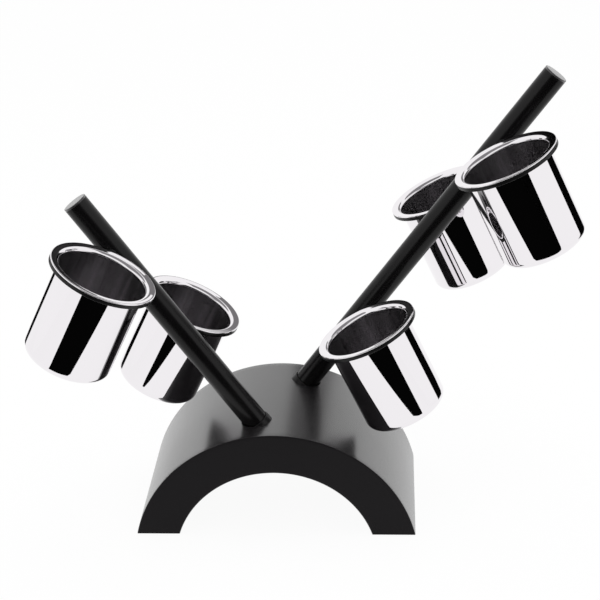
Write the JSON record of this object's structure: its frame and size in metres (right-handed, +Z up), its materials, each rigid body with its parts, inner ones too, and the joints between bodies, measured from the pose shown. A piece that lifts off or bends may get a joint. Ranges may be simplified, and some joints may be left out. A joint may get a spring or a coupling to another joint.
{
  "type": "cutlery dispenser",
  "caption": "Arched stand with leaning rods that hold round lift-out cups by their flanges in tilted rings, for serving cutlery.",
  "frame": {"origin": "on the surface that the stand rests on, under the middle of the whole object, which is to the right of the middle of the arch", "axes": "+Z up; +X to the right along the arch, towards the longer rod; +Y towards the back, the shorter rod being the one in front"},
  "size_m": [0.6034, 0.3734, 0.5113],
  "materials": {
    "arch_lacquer": "satin lacquer",
    "rod_coat": "satin",
    "ring_coat": "satin",
    "socket_coat": "satin",
    "cap_coat": "satin",
    "cup_steel": "mirror polished",
    "zinc_steel": "zinc plated",
    "screw_steel": "black oxide",
    "pad_rubber": "matte"
  },
  "bodies": {
    "stand": {"base_arch": "arch_lacquer", "foot_pad_front_left": "pad_rubber", "foot_pad_front_right": "pad_rubber", "foot_pad_rear_left": "pad_rubber", "foot_pad_rear_right": "pad_rubber", "rod_socket_left": "socket_coat", "rod_socket_right": "socket_coat", "rod_left": "rod_coat", "rod_right": "rod_coat", "rod_cap_left": "cap_coat", "rod_cap_right": "cap_coat", "rod_plug_left": "zinc_steel", "rod_plug_right": "zinc_steel", "rod_bolt_left": "screw_steel", "rod_bolt_right": "screw_steel", "rod_washer_left": "zinc_steel", "rod_washer_right": "zinc_steel", "holder_ring_1": "ring_coat", "holder_ring_2": "ring_coat", "holder_ring_3": "ring_coat", "holder_ring_4": "ring_coat", "holder_ring_5": "ring_coat", "stem_insert_1": "screw_steel", "stem_insert_2": "screw_steel", "stem_insert_3": "screw_steel", "stem_insert_4": "screw_steel", "stem_insert_5": "screw_steel"},
    "cup_1_body": {"cup_1": "cup_steel"},
    "cup_2_body": {"cup_2": "cup_steel"},
    "cup_3_body": {"cup_3": "cup_steel"},
    "cup_4_body": {"cup_4": "cup_steel"},
    "cup_5_body": {"cup_5": "cup_steel"}
  },
  "joints": [
    {"name": "cup_1_lift", "type": "slide", "parent": "stand", "child": "cup_1_body", "axis": [0.4384, 0, 0.8988], "range_m": [0, 0.118]},
    {"name": "cup_2_lift", "type": "slide", "parent": "stand", "child": "cup_2_body", "axis": [0.4384, 0, 0.8988], "range_m": [0, 0.118]},
    {"name": "cup_3_lift", "type": "slide", "parent": "stand", "child": "cup_3_body", "axis": [-0.4147, 0, 0.91], "range_m": [0, 0.118]},
    {"name": "cup_4_lift", "type": "slide", "parent": "stand", "child": "cup_4_body", "axis": [-0.4147, 0, 0.91], "range_m": [0, 0.118]},
    {"name": "cup_5_lift", "type": "slide", "parent": "stand", "child": "cup_5_body", "axis": [-0.4147, 0, 0.91], "range_m": [0, 0.118]}
  ]
}
